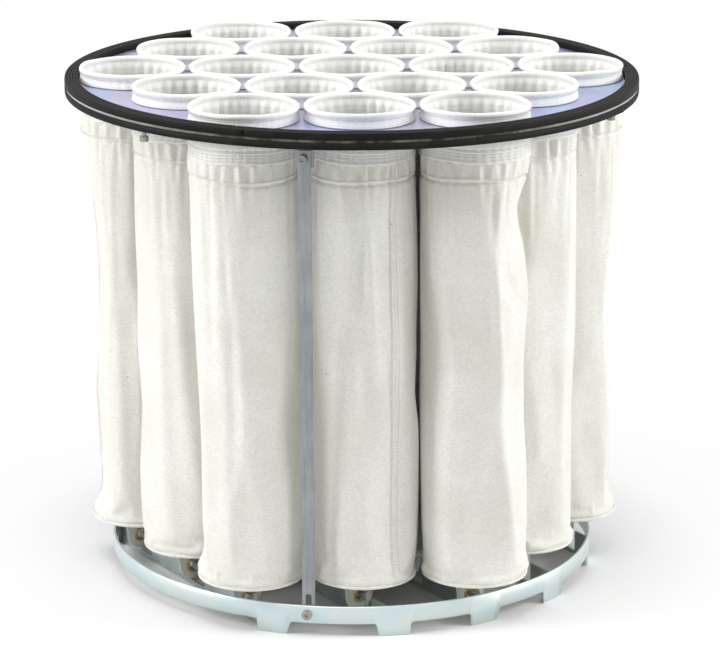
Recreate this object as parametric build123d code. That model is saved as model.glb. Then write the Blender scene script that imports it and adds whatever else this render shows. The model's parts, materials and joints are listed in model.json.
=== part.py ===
from build123d import *
import os
from math import atan2, degrees, radians, sin, sqrt

# Bag filter cartridge: nineteen felt bags hang from a round tube sheet with a rubber gasket on both faces.
# Each bag's tab is hooked on a cross bar of the support ring, which three slotted straps tie to the sheet.
# Millimetres, +Z up, origin on the floor at the centre of the support ring, front of the cartridge at -Y.

# Bag pattern: rows of 3, 4, 5, 4 and 3 on a triangular pitch
PITCH = 130.0
ROWS = 2
ROW_SPACING = PITCH * sqrt(3) / 2
OUTER_PLACE = ROWS * PITCH

# Cuffs, their holes and the bags, all from the pitch
CUFF_GAP = 6.0
BEAD_H = 2.0
CUFF_WALL = 4.6
FELT_INSET = 1.0
CUFF_R = (PITCH - CUFF_GAP) / 2
CUFF_BORE_R = CUFF_R - CUFF_WALL
HOLE_R = CUFF_R - BEAD_H
BAG_R = CUFF_R - FELT_INSET
FELT_T = 2.0

# Tube sheet and gaskets
GASKET_W = 16.5
GASKET_H = 8.0
GASKET_BEVEL = 1.0
GASKET_CLEAR = 1.5
GROOVE_COUNT = 4
GROOVE_W = 1.4
GROOVE_D = 1.2
JOINT_GAP = 0.5
UPPER_JOINT_AZ = -24.0
LOWER_JOINT_AZ = 65.0
JOINT_SLANT = 35.0
RIM_R = OUTER_PLACE + CUFF_R + GASKET_CLEAR + GASKET_W
SHEET_BOTTOM = 591.0
SHEET_T = 3.0
SHEET_TOP = SHEET_BOTTOM + SHEET_T
SHEET_INSET = 1.0
SHEET_R = RIM_R - SHEET_INSET

# Heights of the cuffs
CUFF_RISE = 18.0
SKIRT_DROP = 37.0
CUFF_TOP = SHEET_TOP + CUFF_RISE
CUFF_BOTTOM = SHEET_BOTTOM - SKIRT_DROP
CUFF_CLEAR = 0.25
RIM_BEVEL = 2.6
NECK_R = HOLE_R - CUFF_CLEAR

# Support ring: a rolled band with a foot at each end of every cross bar
RING_MARGIN = 33.0
RING_R = OUTER_PLACE + RING_MARGIN
RING_T = 3.0
RING_BORE_R = RING_R - RING_T
RING_TOP = 36.0
BAND_BOTTOM = 15.0
FOOT_W = 40.0
FOOT_CORNER_R = 4.0

# Heights of the bags, hanging tabs and eyelets above the ring
BAG_LIFT = 18.0
BAG_SEAT = 0.1
BAG_BOTTOM = RING_TOP + BAG_LIFT
BAG_TOP = CUFF_BOTTOM - BAG_SEAT
TAB_SEAT = 0.3
TAB_T = 3.0
TAB_TOP = BAG_BOTTOM - TAB_SEAT
TAB_TOP_W = 44.0
TAB_END_R = 18.5
EYELET_DROP = 27.5
EYELET_Z = BAG_BOTTOM - EYELET_DROP
EYELET_R = 9.75
EYELET_BORE_R = 5.25
EYELET_LENGTH = 5.0
EYELET_CLEAR = 0.1

# Cross bars: plates on edge, one under each slanting row of bags, with a hook for each tab
BAR_AZ = 30.0
BAR_T = 3.0
BAR_BOTTOM = 1.0
BAR_SINK = 5.0
BAR_TOP = RING_TOP - BAR_SINK
BAR_END_CLEAR = 0.2
POCKET_BACK = 12.0
POCKET_FRONT = 30.0
POCKET_FLOOR = 6.0
FINGER_H = 7.0
FINGER_REACH = 16.0
HAMMER_W = 4.0
HAMMER_H = 18.0
ROOT_H = 4.5
ROOT_LENGTH = 5.0

# Brackets under the sheet, one for each strap
STRAP_AZ = [-12.05, 107.95, 227.95]
BRACKET_INSET = 16.6
BRACKET_FACE_R = RIM_R - GASKET_W - BRACKET_INSET
BRACKET_W = 20.0
BRACKET_T = 3.0
BRACKET_H = 35.0
BRACKET_FOOT = 20.0
BRACKET_BEND_R = 3.0
BRACKET_BOTTOM = SHEET_BOTTOM - BRACKET_H
BRACKET_CLEAR = 0.1
BRACKET_SCREW_DROP = 25.0
BRACKET_SCREW_Z = SHEET_BOTTOM - BRACKET_SCREW_DROP

# Straps, between the outer bags
STRAP_W = 15.0
STRAP_T = 2.0
STRAP_CLEAR = 0.3
STRAP_FOOT_R = RING_BORE_R - STRAP_CLEAR - STRAP_T / 2
STRAP_BEND_RISE = 84.0
STRAP_BEND_Z = RING_TOP + STRAP_BEND_RISE
STRAP_HEAD_R = BRACKET_FACE_R + BRACKET_CLEAR + STRAP_T / 2
STRAP_HEAD_MARGIN = 9.0
STRAP_HEAD_LENGTH = 30.0
STRAP_TOP = BRACKET_SCREW_Z + STRAP_HEAD_MARGIN
STRAP_HEAD_BEND_Z = STRAP_TOP - STRAP_HEAD_LENGTH
STRAP_SCREW_Z = (RING_TOP + BAND_BOTTOM) / 2
SLOT_W = 7.0
SLOT_TRAVEL = 20.5
STRAP_END_MARGIN = 5.0

# Hanging screws, in nuts welded under the sheet
HANGER_AZ = [-50.0, 70.0, 190.0]
HANGER_INSET = 7.5
HANGER_R = RIM_R - GASKET_W - HANGER_INSET
HANGER_DROP = 26.0

# M6 screws and nuts
SCREW_R = 3.0
SCREW_HOLE_R = 3.3
NUT_AF = 10.0
NUT_T = 5.0
NUT_BORE_R = 3.05
CAP_R = 5.0
CAP_H = 6.0
PAN_R = 6.0
PAN_H = 4.0
SCREW_TAIL = 2.5
SEAT = 0.1

os.makedirs("parts", exist_ok=True)


def save(name, shape):
    export_step(shape, f"parts/{name}.step")


def bag_places():
    """Centres of the bags, from the back row to the front row and from left to right."""
    places = []
    for row in range(ROWS, -ROWS - 1, -1):
        count = 2 * ROWS + 1 - abs(row)
        for i in range(count):
            places.append(((i - (count - 1) / 2) * PITCH, row * ROW_SPACING))
    return places


def turned(outline):
    """A solid turned round Z from (radius, height) points."""
    return revolve(Plane.XZ * make_face(Polyline(*outline, close=True)), Axis.Z)


def hexagon(across_flats):
    return RegularPolygon(across_flats / 2, 6, major_radius=False)


def facing_out(azimuth, radius=0.0, height=0.0):
    """Place a shape drawn round +Z so that its axis points away from the centre, at an azimuth from the front."""
    spin = Rot(0, 0, azimuth - 90)
    return spin * Pos(radius, 0, height) * Rot(0, 90, 0)


def at_azimuth(azimuth):
    """Turn a shape drawn at +X to an azimuth from the front, positive to the right."""
    return Rot(0, 0, azimuth - 90)


# Tube sheet


def tube_sheet():
    disc = Circle(SHEET_R)
    for x, y in bag_places():
        disc -= Pos(x, y) * Circle(HOLE_R)
    return Pos(0, 0, SHEET_BOTTOM) * extrude(disc, SHEET_T)


# Gaskets: profiled rubber strips, each closed to a ring by one slanting butt joint


def gasket(seat, side, grooves, joint_azimuth):
    """A gasket ring on the sheet's face at height seat, rising to side (+1 up, -1 down)."""
    inner = RIM_R - GASKET_W
    crown = seat + side * GASKET_H
    shoulder = crown - side * GASKET_BEVEL
    groove = crown - side * GROOVE_D
    rib = (GASKET_W - 2 * GASKET_BEVEL - grooves * GROOVE_W) / (grooves + 1)
    outline = [(inner, seat), (inner, shoulder), (inner + GASKET_BEVEL, crown)]
    radius = inner + GASKET_BEVEL
    for _ in range(grooves):
        radius += rib
        outline += [(radius, crown), (radius + GROOVE_W / 2, groove)]
        radius += GROOVE_W
        outline.append((radius, crown))
    outline += [(RIM_R - GASKET_BEVEL, crown), (RIM_R, shoulder), (RIM_R, seat)]
    middle = RIM_R - GASKET_W / 2
    cut = Box(3 * GASKET_W, JOINT_GAP, 3 * GASKET_H)
    cut = at_azimuth(joint_azimuth) * Pos(middle, 0, seat) * Rot(0, 0, JOINT_SLANT) * cut
    return turned(outline) - cut


# Cuffs: a double bead that grips the sheet's hole, with a skirt that the bag is sewn to


def bag_cuff():
    outline = [
        (CUFF_BORE_R, CUFF_BOTTOM),
        (CUFF_R, CUFF_BOTTOM),
        (CUFF_R, SHEET_BOTTOM - CUFF_CLEAR),
        (NECK_R, SHEET_BOTTOM - CUFF_CLEAR),
        (NECK_R, SHEET_TOP + CUFF_CLEAR),
        (CUFF_R, SHEET_TOP + CUFF_CLEAR),
        (CUFF_R, CUFF_TOP - RIM_BEVEL),
        (CUFF_R - RIM_BEVEL, CUFF_TOP),
        (CUFF_BORE_R, CUFF_TOP - RIM_BEVEL),
    ]
    return turned(outline)


def filter_bag():
    outline = [
        (0, BAG_BOTTOM),
        (BAG_R, BAG_BOTTOM),
        (BAG_R, BAG_TOP),
        (BAG_R - FELT_T, BAG_TOP),
        (BAG_R - FELT_T, BAG_BOTTOM + FELT_T),
        (0, BAG_BOTTOM + FELT_T),
    ]
    return turned(outline)


# Hanging tabs: drawn in the YZ plane, so that the hook passes through them along X


def hanging_tab():
    blade = Polyline(
        (-TAB_TOP_W / 2, TAB_TOP),
        (TAB_TOP_W / 2, TAB_TOP),
        (TAB_END_R, EYELET_Z),
        (-TAB_END_R, EYELET_Z),
        close=True,
    )
    face = make_face(blade) + Pos(0, EYELET_Z) * Circle(TAB_END_R)
    face -= Pos(0, EYELET_Z) * Circle(EYELET_R + EYELET_CLEAR)
    return extrude(Plane.YZ * face, TAB_T / 2, both=True)


def eyelet():
    ring = Circle(EYELET_R) - Circle(EYELET_BORE_R)
    return extrude(Plane.YZ * Pos(0, EYELET_Z) * ring, EYELET_LENGTH / 2, both=True)


# Support ring


def bar_offsets():
    """Distance of each cross bar from the centre, across the bars."""
    return [k * ROW_SPACING for k in range(-ROWS, ROWS + 1)]


def bar_frame():
    """Turns the bars' own frame (X along the bar, Y across) to where the bars lie."""
    return at_azimuth(BAR_AZ)


def bar_end_angles():
    """Directions of the cross bars' ends round the ring, in degrees in the bars' own frame."""
    angles = []
    for offset in bar_offsets():
        reach = sqrt(RING_R**2 - offset**2)
        for end in (1, -1):
            angles.append(degrees(atan2(offset, end * reach)))
    return angles


def foot_gap(start, end):
    """The space between two feet: a wedge with rounded upper corners, open at the floor."""
    middle = (start + end) / 2
    half = radians(end - start) / 2 - FOOT_W / 2 / RING_R
    width = 2 * RING_R * sin(half)
    cutter = Rectangle(width, 2 * BAND_BOTTOM)
    cutter = fillet(cutter.vertices().group_by(Axis.Y)[-1], FOOT_CORNER_R)
    block = extrude(Plane.YZ * cutter, RING_R)
    return Rot(0, 0, middle) * block


def support_ring():
    band = Circle(RING_R) - Circle(RING_BORE_R)
    ring = extrude(band, RING_TOP)
    angles = sorted(bar_end_angles())
    for start, end in zip(angles, angles[1:] + [angles[0] + 360]):
        ring -= foot_gap(start, end)
    ring = bar_frame() * ring
    for azimuth in STRAP_AZ:
        ring -= facing_out(azimuth, RING_BORE_R - RING_T, STRAP_SCREW_Z) * Cylinder(SCREW_HOLE_R, 4 * RING_T)
    return ring


# Cross bars


def hooks_on(offset):
    """Places of the bags' tabs along the bar at this offset."""
    count = 2 * ROWS + 1 - abs(round(offset / ROW_SPACING))
    return [(i - (count - 1) / 2) * PITCH for i in range(count)]


def hook_pocket():
    """The opening cut in a bar round one hook, seen from the bar's side."""
    pocket = Rectangle(POCKET_BACK + POCKET_FRONT, 2 * (BAR_TOP - POCKET_FLOOR))
    return Pos((POCKET_FRONT - POCKET_BACK) / 2, BAR_TOP) * pocket


def hook():
    """A finger on a tapered root, with a hammerhead that keeps the eyelet on it."""
    under = EYELET_Z - FINGER_H / 2
    finger = make_face(
        Polyline(
            (-POCKET_BACK, under - ROOT_H),
            (-POCKET_BACK + ROOT_LENGTH, under),
            (FINGER_REACH, under),
            (FINGER_REACH, under + FINGER_H),
            (-POCKET_BACK, under + FINGER_H),
            close=True,
        )
    )
    hammer = fillet(Rectangle(HAMMER_W, HAMMER_H).vertices(), HAMMER_W / 4)
    return finger + Pos(FINGER_REACH, EYELET_Z) * hammer


def cross_bar(offset):
    reach = sqrt((RING_BORE_R - BAR_END_CLEAR) ** 2 - (abs(offset) + BAR_T / 2) ** 2)
    plate = Pos(0, (BAR_TOP + BAR_BOTTOM) / 2) * Rectangle(2 * reach, BAR_TOP - BAR_BOTTOM)
    for place in hooks_on(offset):
        plate -= Pos(place, 0) * hook_pocket()
        plate += Pos(place, 0) * hook()
    return bar_frame() * Pos(0, offset, 0) * extrude(Plane.XZ * plate, BAR_T / 2, both=True)


# Straps: flat bars, upright at the ring, leaning out to the brackets


def strap(azimuth):
    end = STRAP_SCREW_Z - SLOT_W / 2 - STRAP_END_MARGIN
    path = [
        (STRAP_FOOT_R, end),
        (STRAP_FOOT_R, STRAP_BEND_Z),
        (STRAP_HEAD_R, STRAP_HEAD_BEND_Z),
        (STRAP_HEAD_R, STRAP_TOP),
    ]
    outer = [(r + STRAP_T / 2, z) for r, z in path]
    inner = [(r - STRAP_T / 2, z) for r, z in reversed(path)]
    side = make_face(Polyline(*outer, *inner, close=True))
    bar = extrude(Plane.XZ * side, STRAP_W / 2, both=True)
    slot = Rot(0, 0, 90) * SlotCenterToCenter(SLOT_TRAVEL, SLOT_W)
    slot = Plane.YZ * Pos(0, STRAP_SCREW_Z + SLOT_TRAVEL / 2) * slot
    bar -= Pos(STRAP_FOOT_R, 0, 0) * extrude(slot, 2 * STRAP_T, both=True)
    hole = Pos(STRAP_HEAD_R, 0, BRACKET_SCREW_Z) * Rot(0, 90, 0) * Cylinder(SCREW_HOLE_R, 4 * STRAP_T)
    return at_azimuth(azimuth) * (bar - hole)


# Brackets: angles welded under the sheet


def bracket(azimuth):
    back = BRACKET_FACE_R - BRACKET_T
    outline = Polyline(
        (BRACKET_FACE_R - BRACKET_FOOT, SHEET_BOTTOM),
        (BRACKET_FACE_R, SHEET_BOTTOM),
        (BRACKET_FACE_R, BRACKET_BOTTOM),
        (back, BRACKET_BOTTOM),
        (back, SHEET_BOTTOM - BRACKET_T),
        (BRACKET_FACE_R - BRACKET_FOOT, SHEET_BOTTOM - BRACKET_T),
        close=True,
    )
    side = make_face(outline)
    bend = side.vertices().sort_by(Axis.Y)[-2:].sort_by(Axis.X)[-1]
    side = fillet(bend, BRACKET_BEND_R)
    angle = extrude(Plane.XZ * side, BRACKET_W / 2, both=True)
    hole = Pos(back, 0, BRACKET_SCREW_Z) * Rot(0, 90, 0) * Cylinder(SCREW_HOLE_R, 4 * BRACKET_T)
    return at_azimuth(azimuth) * (angle - hole)


# Screws and nuts, drawn along +Z with the head's seat at the origin


def screw(head_r, head_h, length):
    return extrude(Circle(head_r), head_h) + extrude(Circle(SCREW_R), -length)


def nut():
    return extrude(hexagon(NUT_AF) - Circle(NUT_BORE_R), -NUT_T)


def bracket_fasteners(azimuth):
    """A cap screw through the strap's head and the bracket, and its nut behind them."""
    seat_r = STRAP_HEAD_R + STRAP_T / 2
    nut_seat = BRACKET_FACE_R - BRACKET_T - SEAT
    length = seat_r + SEAT - nut_seat + NUT_T + SCREW_TAIL
    bolt = facing_out(azimuth, seat_r + SEAT, BRACKET_SCREW_Z) * screw(CAP_R, CAP_H, length)
    return bolt, facing_out(azimuth, nut_seat, BRACKET_SCREW_Z) * nut()


def hanging_fasteners(azimuth):
    """A cap screw that hangs head down in a nut welded under the sheet."""
    spot = at_azimuth(azimuth) * Pos(HANGER_R, 0, SHEET_BOTTOM)
    seat = HANGER_DROP - CAP_H
    bolt = spot * Pos(0, 0, -seat) * Rot(180, 0, 0) * screw(CAP_R, CAP_H, seat - SEAT)
    return bolt, spot * nut()


def strap_fasteners(azimuth):
    """A pan screw through the ring and the strap's slot, and its nut inside the strap."""
    nut_seat = STRAP_FOOT_R - STRAP_T / 2 - STRAP_CLEAR
    length = RING_R + SEAT - nut_seat + NUT_T + SCREW_TAIL
    bolt = facing_out(azimuth, RING_R + SEAT, STRAP_SCREW_Z) * screw(PAN_R, PAN_H, length)
    return bolt, facing_out(azimuth, nut_seat, STRAP_SCREW_Z) * nut()


# Writing the parts

save("tube_sheet", tube_sheet())
save("upper_gasket", gasket(SHEET_TOP, 1, GROOVE_COUNT, UPPER_JOINT_AZ))
save("lower_gasket", gasket(SHEET_BOTTOM, -1, 0, LOWER_JOINT_AZ))

cuff, bag = bag_cuff(), filter_bag()
save("bag_cuffs", Compound(children=[Pos(x, y, 0) * cuff for x, y in bag_places()]))
for number, (x, y) in enumerate(bag_places(), start=1):
    save(f"filter_bag_{number:02d}", Pos(x, y, 0) * bag)

tab, ring = hanging_tab(), eyelet()
hook_places = [Pos(t, offset, 0) for offset in bar_offsets() for t in hooks_on(offset)]
save("hanging_tabs", Compound(children=[bar_frame() * place * tab for place in hook_places]))
save("tab_eyelets", Compound(children=[bar_frame() * place * ring for place in hook_places]))

save("support_ring", support_ring())
for number, offset in enumerate(bar_offsets(), start=1):
    save(f"cross_bar_{number}", cross_bar(offset))

strap_pairs = [strap_fasteners(azimuth) for azimuth in STRAP_AZ]
save("strap_screws", Compound(children=[bolt for bolt, _ in strap_pairs]))
save("strap_nuts", Compound(children=[fixing for _, fixing in strap_pairs]))
for number, azimuth in enumerate(STRAP_AZ, start=1):
    save(f"strap_{number}", strap(azimuth))

save("strap_brackets", Compound(children=[bracket(azimuth) for azimuth in STRAP_AZ]))
bracket_pairs = [bracket_fasteners(azimuth) for azimuth in STRAP_AZ]
save("bracket_screws", Compound(children=[bolt for bolt, _ in bracket_pairs]))
save("bracket_nuts", Compound(children=[fixing for _, fixing in bracket_pairs]))

hanging_pairs = [hanging_fasteners(azimuth) for azimuth in HANGER_AZ]
save("hanging_screws", Compound(children=[bolt for bolt, _ in hanging_pairs]))
save("hanging_nuts", Compound(children=[fixing for _, fixing in hanging_pairs]))
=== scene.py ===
import json
from math import cos, pi, radians, sin

import bmesh
import bpy
import numpy as np
from mathutils import Matrix, Vector

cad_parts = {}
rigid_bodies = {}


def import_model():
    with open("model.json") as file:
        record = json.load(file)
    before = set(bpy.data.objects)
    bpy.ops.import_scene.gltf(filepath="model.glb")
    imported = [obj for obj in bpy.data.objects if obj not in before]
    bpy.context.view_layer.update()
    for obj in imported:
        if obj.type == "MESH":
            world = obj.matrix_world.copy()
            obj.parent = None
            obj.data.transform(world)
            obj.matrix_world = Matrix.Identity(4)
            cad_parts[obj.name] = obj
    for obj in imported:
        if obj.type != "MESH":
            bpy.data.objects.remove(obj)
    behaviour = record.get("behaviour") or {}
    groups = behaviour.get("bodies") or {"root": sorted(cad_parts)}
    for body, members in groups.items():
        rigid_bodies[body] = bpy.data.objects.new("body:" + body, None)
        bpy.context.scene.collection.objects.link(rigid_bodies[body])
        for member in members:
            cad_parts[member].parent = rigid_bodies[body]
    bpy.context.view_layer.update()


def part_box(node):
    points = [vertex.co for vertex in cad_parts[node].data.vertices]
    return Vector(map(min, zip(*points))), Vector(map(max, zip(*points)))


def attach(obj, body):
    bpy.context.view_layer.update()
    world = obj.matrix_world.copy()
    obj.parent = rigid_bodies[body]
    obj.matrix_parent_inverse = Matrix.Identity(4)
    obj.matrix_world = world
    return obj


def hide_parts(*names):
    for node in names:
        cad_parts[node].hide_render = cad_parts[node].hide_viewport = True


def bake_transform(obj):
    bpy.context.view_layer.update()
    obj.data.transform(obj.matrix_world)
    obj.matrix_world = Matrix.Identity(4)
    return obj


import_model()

# Bag filter cartridge: felt bags under a round tube sheet, hooked on a support ring. Metres, front at -Y.

# Bodies that the pieces ride on
HEAD = "bag_head"
BASE = "lower_frame"

# Places and sizes taken from the frame


def node_box(node):
    low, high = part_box(node)
    return np.array(low), np.array(high)


BAGS = [f"filter_bag_{number:02d}" for number in range(1, 20)]
BAG_BOXES = [node_box(bag) for bag in BAGS]
BAG_PLACES = [(low + high)[:2] / 2 for low, high in BAG_BOXES]
BAG_R = (BAG_BOXES[0][1] - BAG_BOXES[0][0])[0] / 2
BAG_LOW = BAG_BOXES[0][0][2]

SHEET_LOW, SHEET_HIGH = (corner[2] for corner in node_box("tube_sheet"))
RIM_R = node_box("upper_gasket")[1][0]
GASKET_TOP = node_box("upper_gasket")[1][2]
GASKET_LOW = node_box("lower_gasket")[0][2]
CUFF_LOW, CUFF_TOP = (corner[2] for corner in node_box("bag_cuffs"))
CUFF_R = BAG_R + 0.001
RING_R = node_box("support_ring")[1][0]
RING_TOP = node_box("support_ring")[1][2]

PITCH = BAG_PLACES[1][0] - BAG_PLACES[0][0]
ROW_SPACING = PITCH * cos(pi / 6)

# Sizes that only the looks need
BAR_DIRECTION = -pi / 3
FELT_T = 0.0018
EYELET_Z = 0.0265
EYELET_R = 0.00975
EYELET_BORE_R = 0.00525
TAB_HOLE_R = 0.0055
TAB_T = 0.003
TAB_END_R = 0.0185
TAB_TOP_W = 0.044
RING_T = 0.003
BAND_LOW = 0.015
FOOT_W = 0.040
FOOT_CORNER_R = 0.004
GASKET_W = 0.0165
RIBS = 5
RIB_DEPTH = 0.0018
RIB_SHOULDER = 0.0012
JOINT_GAP = 0.0011
SHANK_R = 0.0029
NUT_BORE_R = 0.0031
STITCH_PITCH = 0.0036
SEAM_SAG = 0.0011
THREAD_SPACING = 1 / 105
THREAD_SHARE = 0.10


# Meshes


def add_object(name, data):
    """A new object in the scene."""
    piece = bpy.data.objects.new(name, data)
    bpy.context.scene.collection.objects.link(piece)
    return piece


class Mesh:
    """Collects grids of points as quads, then makes one object of them."""

    def __init__(self, name):
        self.name = name
        self.points = []
        self.faces = []
        self.maps = []
        self.count = 0

    def grid(self, points, ring=True, loop=False, size=(1.0, 1.0)):
        """Rows x columns of points. ring closes the columns and loop the rows. size is for the UV map."""
        rows, columns = points.shape[:2]
        base = self.count
        self.points.append(points.reshape(-1, 3))
        self.count += rows * columns
        for i in range(rows if loop else rows - 1):
            below = (i + 1) % rows
            for j in range(columns if ring else columns - 1):
                beside = (j + 1) % columns
                here, under = base + i * columns, base + below * columns
                self.faces.append((here + j, here + beside, under + beside, under + j))
                u, v = size[0] * j / columns, size[1] * i / rows
                du, dv = size[0] / columns, size[1] / rows
                self.maps += [(u, v), (u + du, v), (u + du, v + dv), (u, v + dv)]

    def cap(self, points, flip=False):
        """One many-sided face."""
        base = self.count
        self.points.append(points)
        self.count += len(points)
        order = range(len(points) - 1, -1, -1) if flip else range(len(points))
        self.faces.append(tuple(base + k for k in order))
        self.maps += [(0.0, 0.0)] * len(points)

    def make(self, smooth=True, merge=0.00001):
        data = bpy.data.meshes.new(self.name)
        data.from_pydata(np.concatenate(self.points).tolist(), [], self.faces)
        data.uv_layers.new(name="cloth")
        data.uv_layers[0].data.foreach_set("uv", np.array(self.maps).ravel())
        piece = add_object(self.name, data)
        weld_and_orient(piece, merge)
        data.polygons.foreach_set("use_smooth", [smooth] * len(data.polygons))
        return piece


def weld_and_orient(piece, merge):
    """Merge doubled points and point the faces outwards."""
    shape = bmesh.new()
    shape.from_mesh(piece.data)
    bmesh.ops.remove_doubles(shape, verts=shape.verts, dist=merge)
    bmesh.ops.dissolve_degenerate(shape, edges=shape.edges, dist=merge)
    bmesh.ops.recalc_face_normals(shape, faces=shape.faces)
    shape.to_mesh(piece.data)
    shape.free()


def round_angles(columns):
    """Even steps once round a circle, from +X."""
    return np.arange(columns) * 2 * pi / columns


def circle_points(radius, angles, height, centre=(0.0, 0.0)):
    """Points at angles round an upright axis. The radius and the height may change with the angle."""
    across = centre[0] + radius * np.cos(angles)
    along = centre[1] + radius * np.sin(angles)
    return np.stack([across, along, height + 0 * across], axis=-1)


def turned(profile, columns=64, centre=(0.0, 0.0)):
    """A profile of radii and heights turned round an upright axis, as one row of points for each."""
    angles = round_angles(columns)
    return np.array([circle_points(radius, angles, height, centre) for radius, height in profile])


def between(a, b, c, d, t):
    """The point at a share t of the way from b to c, on a smooth curve that also runs through a and d."""
    return 0.5 * (2 * b + (c - a) * t + (2 * a - 5 * b + 4 * c - d) * t**2 + (3 * b - a - 3 * c + d) * t**3)


def smooth_profile(points, steps):
    """A curve through the points, as a list of as many steps per span."""
    points = np.array(points, float)
    padded = np.vstack([2 * points[0] - points[1], points, 2 * points[-1] - points[-2]])
    out = []
    for a, b, c, d in zip(padded, padded[1:], padded[2:], padded[3:]):
        for k in range(steps):
            t = k / steps
            out.append(between(a, b, c, d, t))
    out.append(points[-1])
    return out


def evaluated_mesh(piece):
    """A plain mesh of what a piece's modifiers give."""
    view = bpy.context.evaluated_depsgraph_get()
    return bpy.data.meshes.new_from_object(piece.evaluated_get(view), depsgraph=view)


def finished(piece):
    """The piece with its modifiers applied."""
    data = evaluated_mesh(piece)
    old = piece.data
    piece.modifiers.clear()
    piece.data = data
    bpy.data.meshes.remove(old)
    data.name = piece.name
    return piece


def paint(piece, finish):
    piece.data.materials.clear()
    piece.data.materials.append(finish)
    return piece


# Shader expressions and finishes


def wire(tree, port, value):
    """Link a shader value to a socket, or set the socket's own value."""
    if isinstance(value, Field):
        tree.links.new(value.socket, port)
    elif port.type == "RGBA":
        port.default_value = (*value, 1.0)
    else:
        port.default_value = value


class Field:
    """A shader value that adds Math nodes when it is used in an expression."""

    def __init__(self, tree, socket):
        self.tree = tree
        self.socket = socket

    def join(self, operation, left, right):
        node = self.tree.nodes.new("ShaderNodeMath")
        node.operation = operation
        for port, value in zip(node.inputs, (left, right)):
            wire(self.tree, port, value)
        return Field(self.tree, node.outputs[0])

    def __add__(self, other):
        return self.join("ADD", self, other)

    def __sub__(self, other):
        return self.join("SUBTRACT", self, other)

    def __rsub__(self, other):
        return self.join("SUBTRACT", other, self)

    def __mul__(self, other):
        return self.join("MULTIPLY", self, other)

    def __gt__(self, other):
        return self.join("GREATER_THAN", self, other)

    def __lt__(self, other):
        return self.join("LESS_THAN", self, other)

    __radd__ = __add__
    __rmul__ = __mul__


class Finish:
    """A material with one Principled shader, and the means to feed it."""

    def __init__(self, name, **fixed):
        self.material = bpy.data.materials.new(name)
        self.material.use_nodes = True
        self.tree = self.material.node_tree
        self.shader = self.tree.nodes["Principled BSDF"]
        for socket, value in fixed.items():
            self.shader.inputs[socket.replace("_", " ").title().replace("Ior", "IOR")].default_value = value
        self.place = self.node("ShaderNodeTexCoord", out="Object")

    def node(self, kind, settings=None, sockets=None, out=0):
        """Add a node with its settings, then its sockets' values or links, and give one output."""
        made = self.tree.nodes.new(kind)
        for name, value in (settings or {}).items():
            if name == "stops":
                ramp = made.color_ramp
                while len(ramp.elements) < len(value):
                    ramp.elements.new(0.5)
                for element, (position, colour) in zip(ramp.elements, value):
                    element.position = position
                    element.color = (*colour, 1.0)
            else:
                setattr(made, name, value)
        for name, value in (sockets or {}).items():
            wire(self.tree, made.inputs[name], value)
        return Field(self.tree, made.outputs[out])

    def feed(self, socket, value):
        self.tree.links.new(value.socket, self.shader.inputs[socket])

    def noise(self, scale, detail=3.0, roughness=0.55, at=None, distortion=0.0):
        sockets = {"Vector": at or self.place, "Scale": scale, "Detail": detail}
        sockets |= {"Roughness": roughness, "Distortion": distortion}
        return self.node("ShaderNodeTexNoise", None, sockets, "Fac")

    def stretched(self, turn=(0.0, 0.0, 0.0), scale=(1.0, 1.0, 1.0)):
        """Object coordinates, turned and stretched."""
        sockets = {"Vector": self.place, "Rotation": turn, "Scale": scale}
        return self.node("ShaderNodeMapping", None, sockets, "Vector")

    def span(self, value, low, high):
        """The value taken from low..high to 0..1 and held there."""
        sockets = {"Value": value, "From Min": low, "From Max": high}
        return self.node("ShaderNodeMapRange", None, sockets, "Result")

    def distance(self, vector):
        return self.node("ShaderNodeVectorMath", {"operation": "LENGTH"}, {0: vector}, "Value")

    def mix(self, mask, first, second):
        """A colour that goes from the first to the second with the mask."""
        made = self.tree.nodes.new("ShaderNodeMix")
        made.data_type = "RGBA"
        for number, value in ((0, mask), (6, first), (7, second)):
            wire(self.tree, made.inputs[number], value)
        return Field(self.tree, made.outputs[2])

    def ramp(self, value, *stops):
        return self.node("ShaderNodeValToRGB", {"stops": stops}, {"Fac": value}, "Color")

    def bump(self, height, strength, distance):
        sockets = {"Height": height, "Strength": strength, "Distance": distance}
        self.feed("Normal", self.node("ShaderNodeBump", None, sockets, "Normal"))

    def axis(self, vector, name):
        return self.node("ShaderNodeSeparateXYZ", None, {"Vector": vector}, name)


def felt_finish():
    """Needled felt, warm white, with a slanting nap, faint soiling and a few dark specks."""
    f = Finish("felt", roughness=0.95, sheen_weight=0.25, sheen_roughness=0.6)
    nap = f.noise(430.0, 5.0, 0.75, f.stretched((0.4, 0.3, 0.0), (0.7, 0.7, 1.2)))
    fibre = f.noise(1500.0, 2.0)
    tone = f.noise(9.0, 4.0, 0.6)
    cloud = f.mix(f.span(tone, 0.35, 0.65), (0.78, 0.77, 0.70), (0.87, 0.865, 0.82))
    cloth = f.mix(f.span(nap, 0.42, 0.70) * 0.55, cloud, (0.58, 0.56, 0.48))
    cells = {"Vector": f.place, "Scale": 26.0}
    near = f.node("ShaderNodeTexVoronoi", None, cells, "Distance")
    pick = f.axis(f.node("ShaderNodeTexVoronoi", None, cells, "Color"), "X")
    specks = (near < 0.026) * (pick > 0.72)
    f.feed("Base Color", f.mix(specks * 0.75, cloth, (0.13, 0.11, 0.09)))
    creases = f.noise(17.0, 2.0, 0.5, None, 0.7)
    f.bump(nap * 0.6 + fibre * 0.4 + creases * 3.0, 0.5, 0.0016)
    return f.material


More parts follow.
